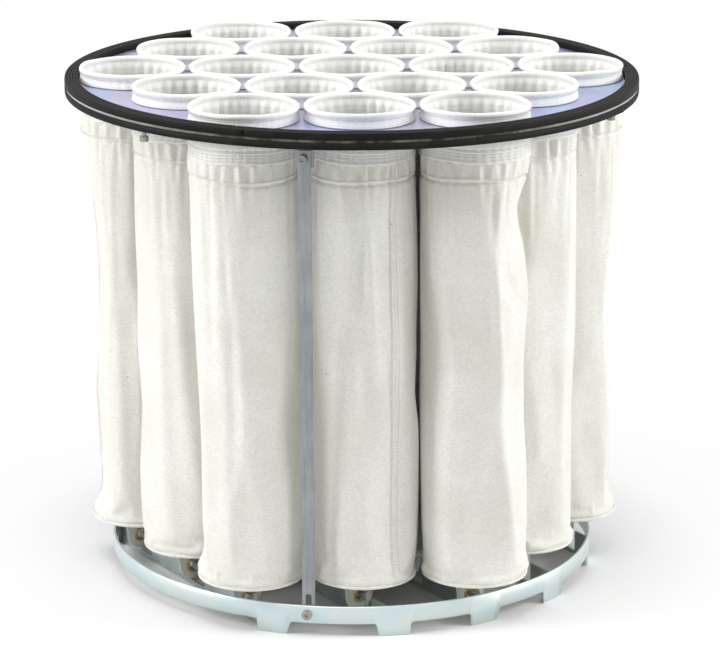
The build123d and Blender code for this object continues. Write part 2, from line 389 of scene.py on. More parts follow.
def cuff_finish():
    """White woven cloth with a fine grid of grey antistatic threads, laid along the cloth's own map."""
    f = Finish("cuff_cloth", roughness=0.85, sheen_weight=0.15, sheen_roughness=0.5)
    cloth_map = f.node("ShaderNodeTexCoord", out="UV")
    weave = f.noise(1200.0, 2.0)
    tone = f.noise(16.0, 3.0)
    thread = None
    for name in ("X", "Y"):
        across = f.axis(cloth_map, name) * (1 / THREAD_SPACING)
        cell = f.node("ShaderNodeMath", {"operation": "FRACT"}, {0: across})
        line = (cell < THREAD_SHARE) * 1.0
        thread = line if thread is None else thread.join("MAXIMUM", line, thread)
    cloth = f.mix(f.span(tone, 0.35, 0.7), (0.84, 0.845, 0.82), (0.91, 0.915, 0.90))
    height = f.axis(f.place, "Z")
    skirt = f.span(height, SHEET_HIGH, SHEET_LOW)
    cloth = f.mix(skirt * 0.8, cloth, (0.82, 0.81, 0.765))
    f.feed("Base Color", f.mix(thread * (0.17 - 0.09 * skirt), cloth, (0.50, 0.53, 0.54)))
    f.bump(weave, 0.3, 0.0006)
    return f.material


def thread_finish():
    f = Finish("sewing_thread", roughness=0.8)
    f.feed("Base Color", f.mix(f.noise(900.0), (0.62, 0.61, 0.57), (0.80, 0.79, 0.75)))
    return f.material


def rubber_finish():
    """Black rubber, dusty, with handling marks."""
    f = Finish("rubber", specular_ior_level=0.15)
    dust = f.noise(38.0, 5.0, 0.7)
    f.feed("Base Color", f.mix(f.span(dust, 0.45, 0.8), (0.006, 0.0058, 0.0055), (0.020, 0.0185, 0.017)))
    f.feed("Roughness", f.span(dust, 0.2, 0.9) * 0.25 + 0.50)
    f.bump(f.noise(800.0, 2.0), 0.15, 0.0004)
    return f.material


def plate_finish():
    """Iridescent zinc plating: lavender, blue and peach clouds, with a pale cut edge that is painted dark
    brown at the front as shade in the slot between the gaskets.
    """
    f = Finish("iridescent_zinc", metallic=0.75)
    cloud = f.noise(5.5, 3.0, 0.6, None, 0.8)
    film = f.ramp(
        cloud,
        (0.30, (0.48, 0.60, 0.78)),
        (0.44, (0.48, 0.50, 0.72)),
        (0.54, (0.60, 0.55, 0.68)),
        (0.64, (0.50, 0.54, 0.76)),
        (0.76, (0.46, 0.64, 0.76)),
    )
    radius = f.distance(f.stretched(scale=(1.0, 1.0, 0.0)))
    edge = f.span(radius, RIM_R - 0.0026, RIM_R - 0.0018)
    # Painted shade: the cut edge goes from pale at the sides and back to dark brown at the front, in
    # near-black and tan patches, standing in for the shade in the slot between the gaskets.
    side = f.span(f.axis(f.place, "Y"), -0.31, -0.10)
    edge_shade_patches = f.span(f.noise(34.0, 4.0, 0.7), 0.40, 0.60)
    front = f.mix(edge_shade_patches, (0.025, 0.022, 0.016), (0.17, 0.155, 0.110))
    rim = f.mix(side, front, (0.62, 0.68, 0.62))
    f.feed("Base Color", f.mix(edge, film, rim))
    f.feed("Roughness", f.noise(60.0, 4.0) * 0.25 + 0.26)
    f.bump(f.noise(500.0, 2.0), 0.06, 0.0004)
    return f.material


def steel_finish(name, dark, light, along, metallic=0.85):
    """Zinc-plated strip with a brushed grain along its length."""
    f = Finish(name, metallic=metallic)
    grain = f.noise(260.0, 3.0, 0.6, f.stretched(scale=along))
    cloud = f.noise(24.0, 3.0)
    f.feed("Base Color", f.mix(f.span(grain * 0.5 + cloud * 0.5, 0.36, 0.64), dark, light))
    f.feed("Roughness", grain * 0.25 + 0.30)
    f.bump(grain, 0.08, 0.0003)
    return f.material


def ring_finish():
    """Clear passivated zinc: pale blue-green with straw and blue tints."""
    f = Finish("passivated_zinc", metallic=0.7)
    cloud = f.noise(9.0, 3.0, 0.55, f.stretched(scale=(1.0, 1.0, 2.5)), 0.6)
    film = f.ramp(
        cloud,
        (0.32, (0.55, 0.68, 0.72)),
        (0.46, (0.61, 0.71, 0.74)),
        (0.58, (0.66, 0.73, 0.70)),
        (0.70, (0.58, 0.70, 0.75)),
    )
    f.feed("Base Color", film)
    f.feed("Roughness", f.noise(90.0, 4.0) * 0.22 + 0.26)
    f.bump(f.noise(300.0, 2.0), 0.08, 0.0004)
    return f.material


def brass_finish():
    f = Finish("brass", metallic=1.0)
    wear = f.noise(300.0, 3.0)
    f.feed("Base Color", f.mix(wear, (0.40, 0.28, 0.11), (0.72, 0.55, 0.27)))
    f.feed("Roughness", wear * 0.3 + 0.22)
    return f.material


FELT = felt_finish()
CUFF = cuff_finish()
THREAD = thread_finish()
RUBBER = rubber_finish()
PLATE = plate_finish()
RING = ring_finish()
BRASS = brass_finish()
STRAP = steel_finish("strap_steel", (0.25, 0.27, 0.285), (0.37, 0.39, 0.40), (1.0, 1.0, 0.04))
BAR = steel_finish("bar_steel", (0.40, 0.46, 0.45), (0.58, 0.64, 0.62), (0.2, 0.2, 1.0))
FASTENER = steel_finish("fastener_steel", (0.24, 0.23, 0.21), (0.44, 0.43, 0.40), (1.0, 1.0, 1.0), 0.9)


# Things that repeat: Geometry Nodes trees


def new_tree(name, inputs):
    """An empty tree with a geometry in and out, and the named inputs asked for."""
    tree = bpy.data.node_groups.new(name, "GeometryNodeTree")
    tree.interface.new_socket("Geometry", in_out="INPUT", socket_type="NodeSocketGeometry")
    for label, kind in inputs:
        tree.interface.new_socket(label, in_out="INPUT", socket_type=kind)
    tree.interface.new_socket("Geometry", in_out="OUTPUT", socket_type="NodeSocketGeometry")
    return tree, tree.nodes.new("NodeGroupInput"), tree.nodes.new("NodeGroupOutput")


def realised(tree, instances, group_in, group_out):
    """End a tree with Realize Instances and Set Material."""
    real = tree.nodes.new("GeometryNodeRealizeInstances")
    colour = tree.nodes.new("GeometryNodeSetMaterial")
    tree.links.new(instances, real.inputs["Geometry"])
    tree.links.new(real.outputs["Geometry"], colour.inputs["Geometry"])
    tree.links.new(group_in.outputs["Finish"], colour.inputs["Material"])
    tree.links.new(colour.outputs["Geometry"], group_out.inputs["Geometry"])


def grow(piece, tree, values):
    """Put a tree on a piece, with values for its named inputs."""
    modifier = piece.modifiers.new(tree.name, "NODES")
    modifier.node_group = tree
    for item in tree.interface.items_tree:
        if item.in_out == "INPUT" and item.name in values:
            modifier[item.identifier] = values[item.name]


def sewing_tree():
    """Lays one long bead of thread at even steps along every curve."""
    inputs = [(label, "NodeSocketFloat") for label in ("Pitch", "Thread", "Length")]
    tree, start, end = new_tree("sewing", [*inputs, ("Finish", "NodeSocketMaterial")])
    new, link = tree.nodes.new, tree.links.new
    spaced = new("GeometryNodeResampleCurve")
    spaced.mode = "LENGTH"
    link(start.outputs["Geometry"], spaced.inputs["Curve"])
    link(start.outputs["Pitch"], spaced.inputs["Length"])
    bead = new("GeometryNodeMeshUVSphere")
    bead.inputs["Segments"].default_value = 4
    bead.inputs["Rings"].default_value = 3
    bead.inputs["Radius"].default_value = 0.5
    size = new("ShaderNodeCombineXYZ")
    link(start.outputs["Thread"], size.inputs["X"])
    link(start.outputs["Thread"], size.inputs["Y"])
    link(start.outputs["Length"], size.inputs["Z"])
    along = new("FunctionNodeAlignRotationToVector")
    along.axis = "Z"
    link(new("GeometryNodeInputTangent").outputs["Tangent"], along.inputs["Vector"])
    place = new("GeometryNodeInstanceOnPoints")
    link(spaced.outputs["Curve"], place.inputs["Points"])
    link(bead.outputs["Mesh"], place.inputs["Instance"])
    link(along.outputs["Rotation"], place.inputs["Rotation"])
    link(size.outputs["Vector"], place.inputs["Scale"])
    realised(tree, place.outputs["Instances"], start, end)
    return tree


def copies_tree():
    """Puts a copy of one template at every point of a carrier, its Z axis along the point's aim."""
    inputs = [("Template", "NodeSocketObject"), ("Finish", "NodeSocketMaterial")]
    tree, start, end = new_tree("copies", inputs)
    new, link = tree.nodes.new, tree.links.new
    template = new("GeometryNodeObjectInfo")
    link(start.outputs["Template"], template.inputs["Object"])
    aim = new("GeometryNodeInputNamedAttribute")
    aim.data_type = "FLOAT_VECTOR"
    aim.inputs["Name"].default_value = "aim"
    turn = new("FunctionNodeAlignRotationToVector")
    turn.axis = "Z"
    link(aim.outputs["Attribute"], turn.inputs["Vector"])
    place = new("GeometryNodeInstanceOnPoints")
    link(start.outputs["Geometry"], place.inputs["Points"])
    link(template.outputs["Geometry"], place.inputs["Instance"])
    link(turn.outputs["Rotation"], place.inputs["Rotation"])
    realised(tree, place.outputs["Instances"], start, end)
    return tree


SEWING = sewing_tree()
COPIES = copies_tree()


def sewn(name, lines, closed, pitch=STITCH_PITCH, thread=0.0011):
    """Stitches along lines of points, as one mesh."""
    curve = bpy.data.curves.new(name, "CURVE")
    curve.dimensions = "3D"
    for points in lines:
        spline = curve.splines.new("POLY")
        spline.points.add(len(points) - 1)
        spline.points.foreach_set("co", np.hstack([points, np.ones((len(points), 1))]).ravel())
        spline.use_cyclic_u = closed
    carrier = add_object(name, curve)
    values = {"Pitch": pitch, "Thread": thread, "Length": pitch * 0.86, "Finish": THREAD}
    grow(carrier, SEWING, values)
    data = evaluated_mesh(carrier)
    bpy.data.objects.remove(carrier)
    data.name = name
    piece = add_object(name, data)
    data.polygons.foreach_set("use_smooth", [True] * len(data.polygons))
    return piece


def copied(name, template, places, aims, finish):
    """Copies of a template object at places, each along its aim, as one mesh. The template goes."""
    data = bpy.data.meshes.new(name)
    data.from_pydata([tuple(place) for place in places], [], [])
    aim = data.attributes.new("aim", "FLOAT_VECTOR", "POINT")
    aim.data.foreach_set("vector", np.array(aims, float).ravel())
    piece = add_object(name, data)
    grow(piece, COPIES, {"Template": template, "Finish": finish})
    finished(piece)
    bpy.data.objects.remove(template)
    return piece


# Gaskets: ribbed rubber strips closed to rings by a slanting butt joint


def gasket(name, seat, crown, joint, slant, kick):
    """A strip from the sheet's face at seat to its crown.

    joint is the butt's direction, slant its skew, and kick how far one end stands out.
    """
    count, columns = 12 * RIBS, 300
    side = 1 if crown > seat else -1
    across = np.linspace(0, 1, count + 1)
    dip = np.abs(2 * (across * RIBS % 1) - 1) ** 6
    shoulder = np.maximum(0, np.abs(2 * across - 1) - 0.94) / 0.06
    levels = crown - side * (RIB_DEPTH * dip + RIB_SHOULDER * shoulder**2)
    top = zip(RIM_R - GASKET_W * (1 - across), levels)
    profile = [(RIM_R - GASKET_W, seat), *top, (RIM_R, seat)]
    turn = np.linspace(0, 2 * pi, columns + 1)
    gap = JOINT_GAP / RIM_R
    turn = gap + turn * (1 - 2 * gap / (2 * pi))
    stand = kick * np.exp(-((2 * pi - turn) * RIM_R / 0.018) ** 2)
    rows = []
    for radius, height in profile:
        skew = slant * (radius - RIM_R + GASKET_W / 2) / RIM_R
        angle = joint + turn + skew
        rows.append(circle_points(radius + stand, angle, height))
    rows = np.array(rows)
    strip = Mesh(name)
    strip.grid(rows, ring=False, loop=True)
    strip.cap(rows[:, 0])
    strip.cap(rows[:, -1], flip=True)
    piece = strip.make(merge=0.000001)
    piece.data.shade_smooth()
    return paint(piece, RUBBER)


def gaskets():
    """The two ribbed gaskets, each with its joint where the strip was cut."""
    upper = gasket("ribbed_upper_gasket", SHEET_HIGH, GASKET_TOP, radians(-114.0), 1.0, 0.0)
    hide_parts("upper_gasket")
    lower = gasket("ribbed_lower_gasket", SHEET_LOW, GASKET_LOW, radians(-25.0), -0.5, 0.0015)
    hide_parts("lower_gasket")
    for piece in (upper, lower):
        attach(piece, HEAD)


# Cuffs: a rolled rim, a collar, a neck in the sheet's hole and a skirt, gathered on the inside


def drift(rng, turns=(1, 2, 3)):
    """A smooth uneven function of the angle round a circle, from about -1 to 1."""
    parts = [(k, rng.uniform(0.2, 0.6), rng.uniform(0, 2 * pi)) for k in turns]
    return lambda angles: sum(size * np.sin(k * angles + phase) for k, size, phase in parts)


def ripple(columns, rng, folds):
    """An uneven ripple round a circle, from -1 to 1."""
    angles = round_angles(columns)
    return np.sin(folds * angles + 2.0 * drift(rng)(angles)) * (0.75 + 0.35 * drift(rng, (2, 3, 5))(angles))


CUFF_COLUMNS = 120
LINE_ANGLES = round_angles(120)

# Stitch lines: up from the skirt's hem, down from the rim and up from the sheet
SKIRT_STITCHES = (0.0160, 0.0112, 0.0080, 0.0045)
RIM_STITCH = 0.0078
COLLAR_STITCH = 0.0036


def skirt_height(height, angles, sag):
    """A height on the skirt, with the sag of its sewn rows growing from the sheet down."""
    return height + sag(angles) * SEAM_SAG * np.clip((SHEET_LOW - height) / (SHEET_LOW - CUFF_LOW), 0, 1)


def cuff_rows(rng, centre, sag):
    """The cuff's closed section, from the skirt's hem up outside, over the rim and down inside."""
    angles = round_angles(CUFF_COLUMNS)
    folds = ripple(CUFF_COLUMNS, rng, 28)
    small = ripple(CUFF_COLUMNS, rng, 44)
    bow = 0.0006 * ripple(CUFF_COLUMNS, rng, 3)
    neck = CUFF_R - 0.0026
    levels = np.linspace(CUFF_LOW + 0.0004, SHEET_LOW - 0.0012, 30)
    valley = sum(np.exp(-(((levels - CUFF_LOW - row) / 0.0012) ** 2)) for row in SKIRT_STITCHES)
    skirt = [(CUFF_R + 0.0007 - 0.0013 * dip, level) for dip, level in zip(valley, levels)]
    outside = [(CUFF_R - 0.0016, CUFF_LOW), *skirt, (neck, SHEET_LOW - 0.0004)]
    collar = smooth_profile(
        [
            (neck, SHEET_HIGH + 0.0004),
            (CUFF_R + 0.0006, SHEET_HIGH + 0.0012),
            (CUFF_R - 0.0002, SHEET_HIGH + 0.0050),
            (CUFF_R - 0.0012, SHEET_HIGH + 0.0100),
            (CUFF_R - 0.0010, CUFF_TOP - 0.0066),
            (CUFF_R + 0.0006, CUFF_TOP - 0.0045),
            (CUFF_R + 0.0004, CUFF_TOP - 0.0018),
            (CUFF_R - 0.0014, CUFF_TOP),
            (CUFF_R - 0.0034, CUFF_TOP - 0.0012),
            (CUFF_R - 0.0040, CUFF_TOP - 0.0042),
            (CUFF_R - 0.0034, CUFF_TOP - 0.0070),
        ],
        3,
    )
    lining = smooth_profile(
        [
            (CUFF_R - 0.0040, CUFF_TOP - 0.010),
            (CUFF_R - 0.0044, SHEET_HIGH - 0.004),
            (CUFF_R - 0.0044, CUFF_LOW + 0.010),
            (CUFF_R - 0.0042, CUFF_LOW),
        ],
        2,
    )
    profile = []
    for radius, height in outside + collar:
        above = height > SHEET_HIGH
        free = np.clip((radius - neck) / 0.0015, 0, 1)
        rim = np.clip((height - (CUFF_TOP - 0.0066)) / 0.002, 0, 1)
        pucker = 0.0005 if above else 0.0014
        level = skirt_height(height, angles, sag) + bow * rim
        profile.append((radius + free * (1 - rim) * pucker * small, level))
    for radius, height in lining:
        depth = np.clip((CUFF_TOP - 0.008 - height) / 0.006, 0, 1)
        profile.append((radius + depth * 0.0024 * (folds - 0.6), height))
    return turned(profile, CUFF_COLUMNS, centre)


def ring_line(radius, height, centre):
    """A stitch line round a bag or a cuff."""
    return circle_points(radius, LINE_ANGLES, height, centre)


def cuffs():
    """The cuffs, one mesh to each row of bags, and their stitch lines."""
    rows_of_cloth = {}
    lines = []
    for number, centre in enumerate(BAG_PLACES):
        rng = np.random.default_rng(100 + number)
        sag = drift(rng, (2, 3, 5))
        rows = cuff_rows(rng, centre, sag)
        place = round(centre[1] / ROW_SPACING) + 3
        cloth = rows_of_cloth.setdefault(place, Mesh(f"bag_collars_row_{place}"))
        cloth.grid(rows, loop=True, size=(2 * pi * CUFF_R, 0.115))
        for up in SKIRT_STITCHES:
            height = skirt_height(CUFF_LOW + up, LINE_ANGLES, sag)
            lines.append(ring_line(CUFF_R - 0.0001, height, centre))
        lines.append(ring_line(CUFF_R - 0.0006, CUFF_TOP - RIM_STITCH, centre))
        lines.append(ring_line(CUFF_R + 0.0001, SHEET_HIGH + COLLAR_STITCH, centre))
    collars = [paint(cloth.make(), CUFF) for cloth in rows_of_cloth.values()]
    for piece in collars:
        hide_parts("bag_cuffs")
    for piece in (*collars, sewn("collar_stitching", lines, True)):
        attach(piece, HEAD)


# Bags: felt sleeves that hang from the cuffs, gathered at the top and piped round the bottom

SLEEVE_COLUMNS = 96
SLEEVE_ROWS = 84
SHOWN_COLUMNS = 144
SIM_FRAMES = 24
MOST_MOVE = 0.0032
FOLD_R = 0.0011
LEAN = np.array([0.0045, 0.0])
GATHERS = 23
HEM_DROP = 0.0178
FOOT_HEM = 0.0078
SEAM_W = 0.011
SEAM_STITCHES = (-0.32, 0.0, 0.32)

# Flats pressed into the bags that show: degrees from the front, depth, and middle and spread down the bag
FLATS = {
    7: [
        (-84, 0.0215, 0.40, 0.32), (-80, 0.0150, 0.88, 0.35), (30, 0.0150, 0.28, 0.26),
        (38, 0.0100, 0.75, 0.30),
    ],
    12: [
        (40, 0.0105, 0.14, 0.12), (48, 0.0080, 0.55, 0.22), (-62, 0.0060, 0.42, 0.30),
        (5, 0.0050, 0.30, 0.14),
    ],
    16: [
        (22, 0.0120, 0.26, 0.17), (-88, 0.0080, 0.72, 0.35), (-36, 0.0055, 0.60, 0.25),
        (48, 0.0080, 0.62, 0.12), (-5, 0.0040, 0.86, 0.10),
    ],
    17: [
        (-26, 0.0085, 0.26, 0.20), (34, 0.0075, 0.14, 0.10), (-50, 0.0060, 0.66, 0.24),
        (30, 0.0060, 0.84, 0.13), (10, 0.0045, 0.50, 0.10),
    ],
    18: [
        (84, 0.0170, 0.13, 0.08), (55, 0.0150, 0.20, 0.12), (-4, 0.0105, 0.26, 0.18),
        (-58, 0.0095, 0.46, 0.15), (52, 0.0080, 0.60, 0.11), (10, 0.0050, 0.82, 0.13),
    ],
    15: [(26, 0.0080, 0.35, 0.24), (76, 0.0060, 0.75, 0.25), (-10, 0.0055, 0.70, 0.14)],
    11: [
        (86, 0.0165, 0.50, 0.30), (80, 0.0100, 0.92, 0.20), (12, 0.0100, 0.30, 0.26),
        (30, 0.0060, 0.72, 0.16),
    ],
}


def pressed(down, angles, flats):
    """Radius of a sleeve with flats pressed into it, each running into the round in a soft fold."""
    swelling = np.sin(pi * np.clip(down, 0, 1))[:, None] ** 0.3
    radius = BAG_R - 0.0004 + (0.0026 + 0.0010 * np.cos(angles) ** 2) * swelling
    reach = [np.exp(-radius / FOLD_R)]
    grazing = 0.35
    for facing, depth, middle, spread in flats:
        press = depth * np.exp(-(((down - middle) / spread) ** 2))[:, None]
        away = np.cos(angles - radians(facing - 90))[None, :]
        plane = (BAG_R - press) / np.maximum(away, grazing)
        plane = np.where(away > grazing, plane, BAG_R * 3)
        reach.append(np.exp(-plane / FOLD_R) * np.clip(press / 0.001, 0, 1))
    held = -FOLD_R * np.log(sum(reach))
    ends = np.clip(down / 0.06, 0, 1) * np.clip((1 - down) / 0.07, 0, 1)
    return radius + (held - radius) * (ends * ends * (3 - 2 * ends))[:, None]


def sleeve_start(flats, seed):
    """A sleeve as it is sewn, pressed flat in places, with soft random dents. Rows from the top down."""
    rng = np.random.default_rng(seed)
    ranges = ((-110, 250), (0.0015, 0.0042), (0.08, 0.95), (0.04, 0.10))
    small = [tuple(rng.uniform(low, high) for low, high in ranges) for _ in range(12)]
    heights = np.linspace(CUFF_LOW + 0.002, BAG_LOW + 0.003, SLEEVE_ROWS)
    down = np.linspace(0, 1, SLEEVE_ROWS)
    angles = round_angles(SLEEVE_COLUMNS)
    swell = np.zeros((SLEEVE_ROWS, SLEEVE_COLUMNS))
    for lobes in (2, 3, 4, 5):
        for waves in (0.5, 1.0, 1.7):
            phase, shift = rng.uniform(0, 2 * pi, 2)
            size = rng.uniform(0.4, 1.0) * 0.0010 / lobes**0.5
            swell += size * np.outer(np.sin(waves * pi * 2 * down + shift), np.cos(lobes * angles + phase))
    radius = pressed(down, angles, flats + small) + swell * np.sin(pi * down)[:, None] ** 0.5
    return radius, angles, heights


def hang_sleeve(flats, seed):
    """The sleeve after it has hung: a cloth simulation, pinned at the cuff and round the bottom."""
    radius, angles, heights = sleeve_start(flats, seed)
    rows = circle_points(radius, angles, heights[:, None])
    cloth = Mesh("sleeve_cloth")
    cloth.grid(rows)
    piece = cloth.make(merge=0.0)
    pins = piece.vertex_groups.new(name="pins")
    count = SLEEVE_ROWS * SLEEVE_COLUMNS
    pins.add([*range(SLEEVE_COLUMNS), *range(count - SLEEVE_COLUMNS, count)], 1.0, "REPLACE")
    fabric = piece.modifiers.new("hang", "CLOTH")
    settings = fabric.settings
    settings.quality = 5
    settings.mass = 0.25
    settings.tension_stiffness = settings.compression_stiffness = 25
    settings.shear_stiffness = 12
    settings.bending_stiffness = 2.0
    settings.tension_damping = settings.compression_damping = 15
    settings.air_damping = 4
    settings.vertex_group_mass = "pins"
    settings.shrink_min = -0.014
    fabric.collision_settings.use_collision = False
    scene = bpy.context.scene
    for number in range(1, SIM_FRAMES + 1):
        scene.frame_set(number)
    view = bpy.context.evaluated_depsgraph_get()
    out = np.zeros(count * 3)
    piece.evaluated_get(view).data.vertices.foreach_get("co", out)
    bpy.data.objects.remove(piece)
    scene.frame_set(1)
    hung = out.reshape(SLEEVE_ROWS, SLEEVE_COLUMNS, 3)
    return rows + capped(hung - rows, MOST_MOVE)


def capped(move, most):
    """Moves cut down to the longest allowed."""
    length = np.linalg.norm(move, axis=2, keepdims=True)
    return move * np.minimum(1, most / np.maximum(length, 1e-9))


def turned_about(rows, angle):
    """Rows of points turned about the upright axis."""
    c, s = cos(angle), sin(angle)
    return rows @ np.array([[c, s, 0], [-s, c, 0], [0, 0, 1]])


def refined(rows, places, columns):
    """The sleeve with its rows at the given places, counted in old rows, and with more columns."""
    last = len(rows) - 1
    first = np.clip(places.astype(int), 0, last - 1)
    t = (places - first)[:, None, None]
    a, b, c, d = (rows[np.clip(first + step, 0, last)] for step in (-1, 0, 1, 2))
    rows = between(a, b, c, d, t)
    return np.fft.irfft(np.fft.rfft(rows, axis=1), columns, axis=1) * (columns / rows.shape[1])


def in_step(rows):
    """A turned sleeve's columns shifted so that the first lies nearest to +X."""
    angle = np.arctan2(rows[0, :, 1], rows[0, :, 0])
    return np.roll(rows, -int(np.argmin(np.abs(angle))), axis=1)


# Rows of a finished bag, counted in the cloth's rows: close together at the gathers and at the bottom
FINE_ROWS = np.concatenate(
    [np.arange(0, 8, 0.22), np.arange(8, 79, 1.4), np.linspace(79, SLEEVE_ROWS - 1, 8)]
)


def sleeve_surface(shape, rng, centre, hem_sag):
    """A hung shape in its place, with gathers under the skirt, the sewn hem and the bag's slight lean."""
    rows = shape.copy()
    heights = rows[:, :, 2]
    angles = np.arctan2(rows[:, :, 1], rows[:, :, 0])
    slant, size = drift(rng, (2, 3, 5)), drift(rng, (1, 3, 4))
    below = CUFF_LOW - heights
    turn = GATHERS * angles + 2.0 * drift(rng)(angles) + 90 * slant(angles) * below
    folds = np.sin(turn) * (0.7 + 0.4 * size(angles))
    gather = np.exp(-((below / 0.018) ** 4)) + 0.45 * np.exp(-(((below - 0.028) / 0.016) ** 2))
    sewn_at = hem_height(angles, hem_sag)
    hem = 0.0013 * np.exp(-(((heights - sewn_at + 0.0018) / 0.0013) ** 2))
    crease = 0.0024 * np.exp(-(((heights - sewn_at + 0.0050) / 0.0022) ** 2))
    change = 0.0024 * gather * folds * (heights < CUFF_LOW) + hem - crease
    outward = rows[:, :, :2] / np.linalg.norm(rows[:, :, :2], axis=2, keepdims=True)
    rows[:, :, :2] += outward * change[:, :, None] + centre
    share = np.clip(below / (CUFF_LOW - BAG_LOW), 0, 1)
    rows[:, :, :2] += share[:, :, None] * LEAN
    return rows


def hem_height(angles, hem_sag):
    """Height of the hem sewn under the cuff's skirt, which sags unevenly."""
    return CUFF_LOW - HEM_DROP + SEAM_SAG * hem_sag(angles)


def sleeve_ends(rows, centre):
    """Rows above and below the cloth: the top sewn inside the skirt, the piped hem and the bottom disc."""

    def around(row, radius, height):
        lean = LEAN if height < CUFF_LOW - 0.1 else 0.0
        middle = np.array([*(centre + lean), 0.0])
        spokes = row - middle
        spokes[:, 2] = 0
        spokes *= radius / np.linalg.norm(spokes, axis=1, keepdims=True)
        return middle + spokes + np.array([0, 0, height])

    head = [(BAG_R - 0.0026, 0.012), (BAG_R - 0.0022, 0.004)]
    hem = [
        (BAG_R - 0.0004, 0.0050),
        (BAG_R + 0.0006, 0.0040),
        (BAG_R + 0.0012, 0.0024),
        (BAG_R + 0.0008, 0.0008),
        (BAG_R - 0.0006, 0.0002),
        (BAG_R - 0.0022, 0.0006),
        (BAG_R - 0.0040, 0.0016),
        (BAG_R * 0.75, 0.0010),
        (BAG_R * 0.4, 0.0004),
        (BAG_R * 0.1, 0.0002),
    ]
    above = [around(rows[0], radius, CUFF_LOW + up) for radius, up in head]
    below = [around(rows[-1], radius, BAG_LOW + up) for radius, up in hem]
    return np.array(above), np.array(below)


def seam_points(rows, angle, centre, lift, shift=0.0):
    """The line of the sleeve's long seam at an angle, lifted off the cloth and shifted to one side."""
    columns = rows.shape[1]
    column = (angle + shift / BAG_R) % (2 * pi) / (2 * pi) * columns
    low = int(column) % columns
    part = column - int(column)
    line = rows[:, low] * (1 - part) + rows[:, (low + 1) % columns] * part
    share = np.clip((CUFF_LOW - line[:, 2]) / (CUFF_LOW - BAG_LOW), 0, 1)
    out = line[:, :2] - centre - share[:, None] * LEAN
    out /= np.linalg.norm(out, axis=1, keepdims=True)
    line = line.copy()
    line[:, :2] += out * lift
    return line


def felled_seam(cloth, rows, angle, centre):
    """The overlap strip of the long seam, as a low closed ribbon."""
    half = [(-0.5, -0.0004), (-0.46, 0.0008), (-0.2, 0.0011)]
    section = half + [(0.2, 0.0011), (0.46, 0.0007), (0.5, -0.0004)]
    lines = [seam_points(rows, angle, centre, lift, share * SEAM_W) for share, lift in section]
    ribbon = np.array(lines)
    cloth.grid(ribbon.transpose(1, 0, 2), ring=True)
    cloth.cap(ribbon[:, 0])
    cloth.cap(ribbon[:, -1], flip=True)


# The flats of the hidden bags, which share two shapes, and each bag's seam in degrees from the front
SPARE_FLATS = [(-40, 0.005, 0.3, 0.25), (60, 0.005, 0.7, 0.25), (170, 0.006, 0.5, 0.3)]
SEAM_FACING = [130, 190, 230, 160, 95, 210, 150, -120, 60, 140, 250, 120, -100, 80, 200, 110, -150, 37, 115]


def bags():
    """The nineteen felt bags, with their seams and stitches."""
    shown = {number: hang_sleeve(flats, 20 + number) for number, flats in FLATS.items()}
    spare = [hang_sleeve(SPARE_FLATS, 60 + number) for number in range(2)]
    strips = Mesh("felled_seams")
    stitches, hems = [], []
    for number, (node, centre) in enumerate(zip(BAGS, BAG_PLACES)):
        rng = np.random.default_rng(300 + number)
        shape = shown.get(number)
        if shape is None:
            turn = rng.integers(SLEEVE_COLUMNS) * 2 * pi / SLEEVE_COLUMNS
            shape = in_step(turned_about(spare[number % 2], turn))
        hem_sag = drift(rng, (2, 3, 5))
        shape = refined(shape, FINE_ROWS, SHOWN_COLUMNS if number in shown else SLEEVE_COLUMNS)
        rows = sleeve_surface(shape, rng, centre, hem_sag)
        head, foot = sleeve_ends(rows, centre)
        skin = np.concatenate([head, rows, foot])
        cloth = Mesh(f"felt_{node[-2:]}")
        cloth.grid(skin)
        cloth.cap(skin[-1])
        piece = cloth.make()
        thick = piece.modifiers.new("thickness", "SOLIDIFY")
        thick.thickness = FELT_T
        thick.offset = -1
        finished(piece)
        paint(piece, FELT)
        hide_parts(node)
        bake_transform(piece)
        facing = radians(SEAM_FACING[number] - 90)
        felled_seam(strips, rows, facing, centre)
        for share in SEAM_STITCHES:
            stitches.append(seam_points(rows, facing, centre, 0.0013, share * SEAM_W))
        hems.append(ring_line(BAG_R + 0.0004, BAG_LOW + FOOT_HEM, centre + LEAN))
        hems.append(ring_line(BAG_R + 0.0011, hem_height(LINE_ANGLES, hem_sag), centre))
    strips = paint(strips.make(), FELT)
    lines = sewn("seam_stitching", stitches, False)
    rings = sewn("hem_stitching", hems, True)
    for piece in (strips, lines, rings):
        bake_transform(piece)


# Hanging tabs and eyelets, in the cross bars' own frame: X along the bar


def at_hook(points, centre):
    """Points drawn at the origin, X along the bar, taken to a bag's place."""
    c, s = cos(BAR_DIRECTION), sin(BAR_DIRECTION)
    turn = np.array([[c, s, 0], [-s, c, 0], [0, 0, 1]])
    return points @ turn + np.array([centre[0], centre[1], 0.0])


def tab_reach(angle):
    """Distance from the eyelet's centre to the tab's edge, in a direction counted from sideways."""
    top = BAG_LOW - EYELET_Z
    across, up = cos(angle), sin(angle)
    if up <= 0.0001:
        return TAB_END_R
    slope = (TAB_TOP_W / 2 - TAB_END_R) / top
    side = TAB_END_R / max(abs(across) - slope * up, 1e-6)
    return min(side, top / up)


# How far out each ring of a tab's face lies, from the hole to the edge
TAB_SHARES = (0.0, 0.15, 0.45, 0.75, 0.93, 1.0)
TAB_STITCH = 0.82


